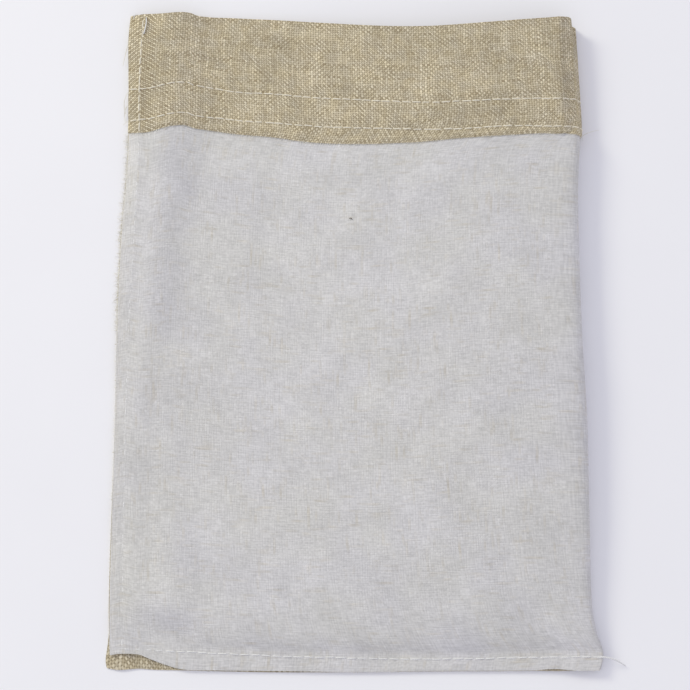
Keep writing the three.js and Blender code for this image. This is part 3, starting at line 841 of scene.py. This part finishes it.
# %% Flat sizes, measured along the cloth, and the slant that sewing gives the yarns beside the side seam
BIAS_SLOPE = 0.25
BIAS_WIDTH = 4.5
steps_across = np.linalg.norm(np.diff(folded, axis=1), axis=2).mean(axis=0)
steps_up = np.linalg.norm(np.diff(folded, axis=0), axis=2).mean(axis=1)
cut_across = np.concatenate([[0], np.cumsum(steps_across)])
cut_up = np.concatenate([[0], np.cumsum(steps_up)])
from_seam = np.minimum(abs(cut_across - cut_across[columns == 1]), abs(cut_across - cut_across[columns == 4]))
slant = BIAS_SLOPE * np.minimum(from_seam, BIAS_WIDTH)
print("flat cut, mm:", round(cut_across[-1], 1), "by", round(cut_up[-1], 1))

# %% The sheet's mesh
FRAYED_SHARE = 0.45


def flat_grid(name, across, up, half_side):
    """A flat square mesh of quads about the origin."""
    bm = bmesh.new()
    bmesh.ops.create_grid(bm, x_segments=across, y_segments=up, size=half_side)
    mesh = bpy.data.meshes.new(name)
    bm.to_mesh(mesh)
    bm.free()
    return mesh


mesh = flat_grid("flat_cloth", len(columns) - 1, len(folded) - 1, 0.5)
grid_places = np.empty(len(mesh.vertices) * 3)
mesh.vertices.foreach_get("co", grid_places)
grid_places = grid_places.reshape(-1, 3) + 0.5
column_of = np.rint(grid_places[:, 0] * (len(columns) - 1)).astype(int)
row_of = np.rint(grid_places[:, 1] * (len(folded) - 1)).astype(int)
mesh.vertices.foreach_set("co", (folded[row_of, column_of] * MM).ravel())

corner_points = np.empty(len(mesh.loops), int)
mesh.loops.foreach_get("vertex_index", corner_points)
flat_places = np.stack([cut_across[column_of], cut_up[row_of] + slant[column_of]], axis=1) * MM
cut_map = mesh.uv_layers.new(name=CUT_MAP)
cut_map.data.foreach_set("uv", flat_places[corner_points].ravel())
for material in (coat, linen, edge):
    mesh.materials.append(material)

cloth = put("pouch_cloth_sheet", mesh)
thickness_shares = cloth.vertex_groups.new(name="thickness share")
thickness_shares.add(np.arange(len(mesh.vertices)).tolist(), 1.0, "REPLACE")
for frayed_row in (0, len(folded) - 1):
    thickness_shares.add(np.flatnonzero(row_of == frayed_row).tolist(), FRAYED_SHARE, "REPLACE")
thicken = cloth.modifiers.new("thickness", "SOLIDIFY")
thicken.vertex_group = thickness_shares.name
thicken.thickness = CLOTH * MM
thicken.offset = 0
thicken.use_even_offset = True
thicken.material_offset = 1
thicken.material_offset_rim = 2
print("quads of the flat sheet:", len(mesh.polygons))

# %% Thickness applied, and its edges kept crisp
SHARP_ANGLE = math.radians(55)

thick_mesh = bpy.data.meshes.new_from_object(cloth.evaluated_get(bpy.context.evaluated_depsgraph_get()))
cloth.modifiers.clear()
cloth.data = thick_mesh
thick_mesh.name = "pouch_cloth_sheet"
bpy.data.meshes.remove(mesh)
thick_mesh.polygons.foreach_set("use_smooth", np.ones(len(thick_mesh.polygons), bool))
thick_mesh.set_sharp_from_angle(angle=SHARP_ANGLE)
thick_mesh.calc_loop_triangles()
print("triangles of the sheet:", len(thick_mesh.loop_triangles))

# %% [markdown]
# ## Sewing thread
# Spun thread, two plies twisted together, cream on the hem and white in the seams. It is paler and smoother
# than the linen, and the twist shows as fine slanting lines, with painted shade in the grooves between the
# plies. The tubes below carry a map with the turn about the thread and the length along it.

# %% Thread material
THREAD_MAP = "thread"
TWIST_LENGTH = 0.7 * MM
PLIES = 2


def spun_thread(name, dark, light):
    """Spun thread: slanting plies, painted shade in their grooves, slightly uneven in tone, a soft dull
    shine.
    """
    material, tree = new_material(name)
    turn = add(tree, "SeparateXYZ", add(tree, "UVMap", uv_map=THREAD_MAP)).node.outputs
    twist = calc(tree, "MULTIPLY", turn[1], 1 / TWIST_LENGTH)
    twist = calc(tree, "MULTIPLY_ADD", turn[0], float(PLIES), twist)
    twist = calc(tree, "SINE", calc(tree, "MULTIPLY", twist, math.tau))
    place = add(tree, "TexCoord", out="Object")
    shade = add(tree, "TexNoise", place, named={"Scale": 1 / (3 * MM), "Detail": 2.0})
    colour = add(tree, "MixRGB", shade, linear(dark), linear(light))
    # The grooves between the plies are painted darker: painted shade.
    groove_shade = add(tree, "MapRange", twist, -1.0, 0.3, 0.82, 1.0)
    colour = add(tree, "MixRGB", 1.0, colour, groove_shade, blend_type="MULTIPLY")
    surface(tree, colour, 0.7, 0.3, relief=twist, depth=0.03 * MM)
    return material


hem_thread = spun_thread("cream_spun_thread", "#e8dfcc", "#f8f2e3")
seam_thread = spun_thread("white_spun_thread", "#e4e3e3", "#f4f3f3")
print("materials:", hem_thread.name, seam_thread.name)

# %% [markdown]
# ## Tubes from arrays
# Stitches and yarn ends are many short bent tubes. Making each with its own operator would be slow, so one
# function works out all the rings of all the tubes at once and makes a single mesh of them, closed at both
# ends.

# %% Many tubes as one mesh
NEARLY_UP = (0.12, 0.08, 1.0)


def tubes(name, paths, radii, sides, material):
    """Joins round tubes along paths (tube, ring, place) with radii (tube, ring), in mm, into one object."""
    count, rings = radii.shape
    tangent = unit(np.gradient(paths, axis=1))
    side = unit(np.cross(tangent, NEARLY_UP))
    top = np.cross(side, tangent)
    turn = math.tau * np.arange(sides) / sides
    round_about = np.cos(turn)[:, None] * side[:, :, None] + np.sin(turn)[:, None] * top[:, :, None]
    points = paths[:, :, None] + radii[:, :, None, None] * round_about

    ring = np.arange(sides)
    beside = (ring + 1) % sides
    quads = np.stack([ring, ring + sides, beside + sides, beside], axis=1)
    tube = np.concatenate([quads + step * sides for step in range(rings - 1)])
    faces = (tube[None] + np.arange(count)[:, None, None] * rings * sides).reshape(-1, 4).tolist()
    first = np.arange(count)[:, None] * rings * sides
    caps = (first + ring[None]).tolist() + (first + (rings - 1) * sides + ring[::-1][None]).tolist()

    mesh = bpy.data.meshes.new(name)
    mesh.from_pydata((points * MM).reshape(-1, 3).tolist(), [], faces + caps)
    length = np.linalg.norm(np.diff(paths, axis=1), axis=2).cumsum(axis=1)
    length = np.concatenate([np.zeros((count, 1)), length], axis=1) * MM
    near, far = length[:, :-1, None], length[:, 1:, None]
    low = np.broadcast_to(ring / sides, (count, rings - 1, sides))
    high = low + 1 / sides
    near, far = np.broadcast_to(near, low.shape), np.broadcast_to(far, low.shape)
    corners = np.stack([low, near, low, far, high, far, high, near], axis=-1).reshape(-1)
    cap_corners = np.zeros(len(caps) * sides * 2)
    mesh.uv_layers.new(name=THREAD_MAP).data.foreach_set("uv", np.concatenate([corners, cap_corners]))
    mesh.polygons.foreach_set("use_smooth", np.ones(len(mesh.polygons), bool))
    mesh.materials.append(material)
    mesh.validate()
    print(name, "tubes:", count, "faces:", len(mesh.polygons))
    return put(name, mesh)


# %% [markdown]
# ## Rows of stitches
# A lockstitch shows as a dash of thread that comes up through one hole and goes down through the next. Each
# dash here is a short tube that lies on the cloth and dips into it at both ends. A hand guides the cloth,
# so the dashes vary a little in length, place and tightness.

# %% Stitches along a row
STITCH_PITCH = 3.24
STITCH_LENGTH = 3.12
THREAD_RADIUS = 0.21
STITCH_RINGS = 7
ARCH_RISE = 1.5
ARCH_FOOT = 0.9
PLACE_SPREAD = 0.12
LENGTH_SPREAD = 0.18
DEEPEST_SHARE = 0.4
ASIDE_SPREAD = 0.05
SKEW_SPREAD = 0.08
draw = np.random.default_rng(7)


def run_along(line):
    """Length along a line of points, from 0 at its start."""
    return np.concatenate([[0], np.cumsum(np.linalg.norm(np.diff(line, axis=0), axis=1))])


def at_lengths(place, length, line):
    """What a line holds at some lengths along it."""
    return np.stack([np.interp(place, length, line[:, axis]) for axis in range(3)], axis=-1)


def sewn_row(across, up, outside, sunk=0.0):
    """Dashes of thread along a line on the cloth, as paths of tubes, sunk by a share of their radius."""
    line = cloth_point(across, up, outside)
    facing = outward(*np.broadcast_arrays(across, up))
    length = run_along(line)
    count = int(length[-1] / STITCH_PITCH)
    middle = (np.arange(count) + 0.5) * STITCH_PITCH + draw.normal(0, PLACE_SPREAD, count)
    span = STITCH_LENGTH + draw.normal(0, LENGTH_SPREAD, count)
    share = np.linspace(0, 1, STITCH_RINGS)
    place = middle[:, None] + span[:, None] * (share - 0.5)
    path = at_lengths(place, length, line)
    normal = at_lengths(place, length, facing)
    side = unit(np.cross(normal, np.gradient(path, axis=1)))
    deep = np.interp(middle, length, np.broadcast_to(sunk, length.shape))
    depth = (deep + draw.uniform(0.0, DEEPEST_SHARE, count))[:, None]
    arch = THREAD_RADIUS * (ARCH_RISE * np.sin(math.pi * share) ** 0.5 - ARCH_FOOT - depth)
    aside = draw.normal(0, ASIDE_SPREAD, count)[:, None]
    skew = aside + draw.normal(0, SKEW_SPREAD, count)[:, None] * (share - 0.5)
    return path + normal * arch[..., None] + side * skew[..., None]


def stitching(name, rows, thread):
    """One object with all the stitches of some rows."""
    paths = np.concatenate(rows)
    taper = np.interp(np.linspace(0, 1, STITCH_RINGS), [0, 0.15, 0.85, 1], [0.75, 1, 1, 0.75])
    radii = THREAD_RADIUS * taper * draw.uniform(0.9, 1.08, (len(paths), 1))
    paths[..., 2] = np.maximum(paths[..., 2], radii)
    return tubes(name, paths, radii, 6, thread)


# %% Two rows round the hem, and the side seam's rows on it
ROW_SAMPLES = 3000
HEM_SUNK = 0.25
round_the_pouch = np.linspace(0.08, 4.92, ROW_SAMPLES)
hem_rows = []
for row in ("upper", "lower"):
    nominal = nominal_x(round_the_pouch)
    levels = hem_level(curve_through(HEM, row, nominal), nominal)
    hem_rows.append(sewn_row(round_the_pouch, levels, hem_outside(round_the_pouch, levels) + HALF))
up_the_hem = np.linspace(2.01, 2.97, ROW_SAMPLES)
for seam in (1.0, 4.0):
    hem_rows.append(sewn_row(seam, up_the_hem, LAYER_STEP + HALF, HEM_SUNK))
hem_stitches = stitching("hem_stitching", hem_rows, hem_thread)

# %% The side seam below the hem and the bottom seam, front and back
BODY_SUNK = 1.1
BOTTOM_TIGHT = (-62, -56)
up_the_body = np.linspace(1.0, 1.985, ROW_SAMPLES)
side_rows = [sewn_row(seam, up_the_body, HALF, BODY_SUNK) for seam in (1.0, 4.0)]
side_stitches = stitching("side_stitching", side_rows, seam_thread)

bottom_rows = []
for start, end in ((1.0, 2.3), (2.7, 4.0)):
    along_bottom = np.linspace(start, end, ROW_SAMPLES)
    tight = BODY_SUNK * (1 - smoothstep(nominal_x(along_bottom), *BOTTOM_TIGHT))
    bottom_rows.append(sewn_row(along_bottom, 1.0, HALF, tight))
bottom_stitches = stitching("bottom_stitching", bottom_rows, seam_thread)

# %% [markdown]
# ## Yarn ends along the cut edges
# Cut linen frays: short ends of yarn stand out of every raw edge, some longer than others. They follow the
# weave, one to a yarn, and thin out towards their tips.

# %% Yarn material
def loose_fibre(name, dark, light):
    """Loose fibre: matt, a little different in shade from end to end."""
    material, tree = new_material(name)
    place = add(tree, "TexCoord", out="Object")
    shade = noise(tree, place, 2 * MM, 0.0, 1.0, NARROW, dimensions="3D")
    colour = add(tree, "MixRGB", shade, linear(dark), linear(light))
    surface(tree, colour, 0.9, 0.2)
    return material


fibre = loose_fibre("frayed_linen_yarn", "#d0cabc", "#e8e5dd")
soft_fibre = loose_fibre("fine_linen_fibre", "#dad4c6", "#efece4")
lint = loose_fibre("dark_wool_lint", "#5d5650", "#776f66")
print("materials:", fibre.name, soft_fibre.name, lint.name)

# %% Yarn ends on every raw edge
END_RINGS = 4
END_INSIDE = 0.35
LONGEST_SHARE = 2.8
SLANT_SPREAD = 0.25
REACH_SPREAD = 0.55
RISE_SPREAD = 0.1


def yarn_ends(edge_line, inner_line, pitch, usual_length):
    """Paths of short yarn ends that stand out of a raw edge, away from a line just inside it."""
    length = run_along(edge_line)
    count = int(length[-1] / pitch)
    place = (np.arange(count) + 0.5) * pitch + draw.normal(0, PLACE_SPREAD, count)
    root = at_lengths(place, length, edge_line)
    away = at_lengths(place, length, unit(edge_line - inner_line))
    aslant = np.cross(away, (0, 0, 1)) * draw.normal(0, SLANT_SPREAD, count)[:, None]
    reach = usual_length * np.minimum(draw.lognormal(0, REACH_SPREAD, count), LONGEST_SHARE)
    share = np.linspace(0, 1, END_RINGS)
    out = -END_INSIDE + share * (END_INSIDE + reach[:, None])
    bent = np.clip(out, 0, None) * share
    path = root[:, None] + away[:, None] * out[..., None]
    path += aslant[:, None] * bent[..., None]
    path[..., 2] += draw.normal(0, RISE_SPREAD, count)[:, None] * bent
    return path


EDGE_SAMPLES = 1500
INSET = 0.05
ACROSS_PITCH = YARN_ACROSS / MM
UP_PITCH = YARN_UP / MM
SIDE_END, HEM_SIDE_END, BOTTOM_END, HEM_END = 0.22, 0.2, 0.12, 0.25
LEAST_END_HEIGHT = 0.2
edge_up = np.linspace(0.02, 2.98, EDGE_SAMPLES)
hem_up = np.linspace(2.02, 2.98, EDGE_SAMPLES)
edge_across = np.linspace(0.02, 4.98, EDGE_SAMPLES)
fringes = []
for raw, inner in ((0.0, INSET), (5.0, 5 - INSET)):
    fringes.append(yarn_ends(cloth_point(raw, edge_up), cloth_point(inner, edge_up), UP_PITCH, SIDE_END))
    hem_line = cloth_point(raw, hem_up, hem_outside(raw, hem_up))
    inner_line = cloth_point(inner, hem_up, hem_outside(inner, hem_up))
    fringes.append(yarn_ends(hem_line, inner_line, UP_PITCH, HEM_SIDE_END))
bottom_line, inner_line = cloth_point(edge_across, 0.0), cloth_point(edge_across, INSET)
fringes.append(yarn_ends(bottom_line, inner_line, ACROSS_PITCH, BOTTOM_END))
raw_hem = cloth_point(edge_across, 2.0, hem_outside(edge_across, 2.0))
above_hem = cloth_point(edge_across, 2.0 + INSET, hem_outside(edge_across, 2.0 + INSET))
fringes.append(yarn_ends(raw_hem, above_hem, ACROSS_PITCH, HEM_END))
end_paths = np.concatenate(fringes)
end_paths[..., 2] = np.maximum(end_paths[..., 2], LEAST_END_HEIGHT)
end_radii = np.interp(np.linspace(0, 1, END_RINGS), [0, 0.5, 1], [0.18, 0.15, 0.05])
end_radii = end_radii * draw.uniform(0.6, 1.1, (len(end_paths), 1))
ends = tubes("frayed_yarn_ends", end_paths, end_radii, 4, fibre)

# %% Soft fringe of fine fibre on the upper part of the side's raw edges and along the hem's
FRINGE_PITCH = 0.2
FRINGE_LENGTH = 0.8
HEM_FRINGE_LENGTH = 0.4
FRINGE_RADIUS = 0.05
fringe_up = np.linspace(1.6, 2.0, EDGE_SAMPLES)
fine_paths = []
for raw, inner in ((0.0, INSET), (5.0, 5 - INSET)):
    raw_line = cloth_point(raw, fringe_up)
    fine_paths.append(yarn_ends(raw_line, cloth_point(inner, fringe_up), FRINGE_PITCH, FRINGE_LENGTH))
fine_paths.append(yarn_ends(raw_hem, above_hem, FRINGE_PITCH, HEM_FRINGE_LENGTH))
fine_paths = np.concatenate(fine_paths)
fine_paths[..., 2] = np.maximum(fine_paths[..., 2], FRINGE_RADIUS)
fine_radii = np.tile(np.linspace(FRINGE_RADIUS, FRINGE_RADIUS / 2, END_RINGS), (len(fine_paths), 1))
fringe = tubes("fine_fibre_fringe", fine_paths, fine_radii, 3, soft_fibre)

# %% [markdown]
# ## Loose threads
# A few ends of sewing thread and fibre were never trimmed. Each is a smooth curve through a start, a bend
# and an end, and each starts in the sewing or the edge that it comes from.

# %% Loose threads and hairs
LOOSE_RINGS = 14
LOOSE_THREADS = table(
    "start bend end radius",
    ((-69.3, 99.0, 4.0), (-68.0, 103.0, 4.9), (-68.7, 104.9, 4.1), 0.2),
    ((-72.9, 105.0, 2.5), (-72.7, 107.2, 3.1), (-71.2, 106.0, 2.9), 0.12),
    ((73.4, -102.1, 2.5), (77.4, -101.4, 3.0), (82.2, -104.7, 0.4), 0.26),
    ((72.1, 64.3, 6.8), (73.9, 63.6, 5.3), (74.4, 61.9, 3.4), 0.16),
)
LOOSE_HAIRS = table(
    "start bend end radius",
    ((-74.3, 97.0, 2.0), (-75.4, 94.0, 1.6), (-76.3, 89.1, 0.5), 0.1),
    ((-73.9, 79.6, 1.9), (-76.4, 77.0, 1.0), (-74.9, 72.4, 0.4), 0.1),
    ((-73.7, 75.0, 1.8), (-75.9, 74.0, 0.8), (-75.0, 69.8, 0.3), 0.09),
    ((-73.4, 69.4, 1.8), (-74.6, 69.6, 1.0), (-75.6, 68.5, 0.4), 0.1),
    ((73.8, 63.1, 3.6), (75.6, 65.2, 3.0), (80.3, 66.8, 0.3), 0.07),
    ((-74.7, 32.0, 0.9), (-75.9, 30.6, 0.8), (-76.0, 28.5, 0.4), 0.09),
)
LINT = table(
    "start bend end radius",
    ((-1.5, 35.5, 4.3), (-0.9, 35.7, 4.7), (-0.6, 35.1, 4.3), 0.12),
)


def bent_paths(table):
    """A smooth curve through a start, over a bend and to an end, for each row of a table."""
    share = np.linspace(0, 1, LOOSE_RINGS)[:, None]
    curves = []
    for row in table:
        start, bend, end = (np.array(row[name], float) for name in ("start", "bend", "end"))
        curves.append((1 - share) ** 2 * start + 2 * share * (1 - share) * bend + share**2 * end)
    return np.array(curves)


def loose(name, table, material):
    """One object with all the loose ends of a table."""
    radius = np.array([[row["radius"]] for row in table])
    taper = np.interp(np.linspace(0, 1, LOOSE_RINGS), [0, 0.8, 1], [1, 0.9, 0.4])
    return tubes(name, bent_paths(table), radius * taper, 6, material)


loose_threads = loose("loose_thread_ends", LOOSE_THREADS, seam_thread)
loose_hairs = loose("loose_flax_hairs", LOOSE_HAIRS, fibre)
lint_speck = loose("lint_on_the_front", LINT, lint)

# %% [markdown]
# ## Floor and light
# A pale floor under a bright even sky gives the photograph's soft white ground. One large lamp up on the
# left side of the mouth makes the soft shadow along the folded side. The floor is far wider than the view,
# so no edge of it shows.

# %% Floor
FLOOR_SIZE = 8.0
floor_mesh = flat_grid("floor", 1, 1, FLOOR_SIZE / 2)
paper, tree = new_material("matt_white_paper")
place = add(tree, "TexCoord", out="Object")
fibres = add(tree, "TexNoise", place, named={"Scale": 1 / (40 * MM), "Detail": 3.0})
tone = add(tree, "MixRGB", fibres, linear("#ecebf0"), linear("#efeef3"))
surface(tree, tone, 0.9, 0.5)
floor_mesh.materials.append(paper)
floor = put("floor", floor_mesh)
print("floor, m:", FLOOR_SIZE)

# %% Light
KEY_PLACE = Vector((-1.22, 0.85, 0.82))
KEY_SIZE = 0.5
KEY_POWER = 13.4
KEY_COLOUR = "#fffee5"
SKY_STRENGTH = 0.82

key = put("key_lamp", bpy.data.lights.new("key_lamp", "AREA"))
key.data.size = KEY_SIZE
key.data.energy = KEY_POWER
key.data.color = linear(KEY_COLOUR)[:3]
key.location = KEY_PLACE
key.rotation_euler = (-KEY_PLACE).to_track_quat("-Z", "Y").to_euler()

world = bpy.data.worlds.new("bright even sky")
world.use_nodes = True
scene.world = world
sky = world.node_tree.nodes["Background"]
sky.inputs["Color"].default_value = linear("#f5f6fe")
sky.inputs["Strength"].default_value = SKY_STRENGTH
scene.view_settings.view_transform = "Standard"
print("key lamp, W:", KEY_POWER)

# %% [markdown]
# ## What rides on what
# The pouch has no joints, so every piece rides on the one body. The sheet stands for the CAD solid, and the
# sewing and the loose yarn go with it.

# %% Every piece on the one body
sewing = [hem_stitches, side_stitches, bottom_stitches, loose_threads]
yarn = [ends, fringe, loose_hairs, lint_speck]
for piece in [cloth, *sewing, *yarn]:
    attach(piece, "root")
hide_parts("pouch_cloth")
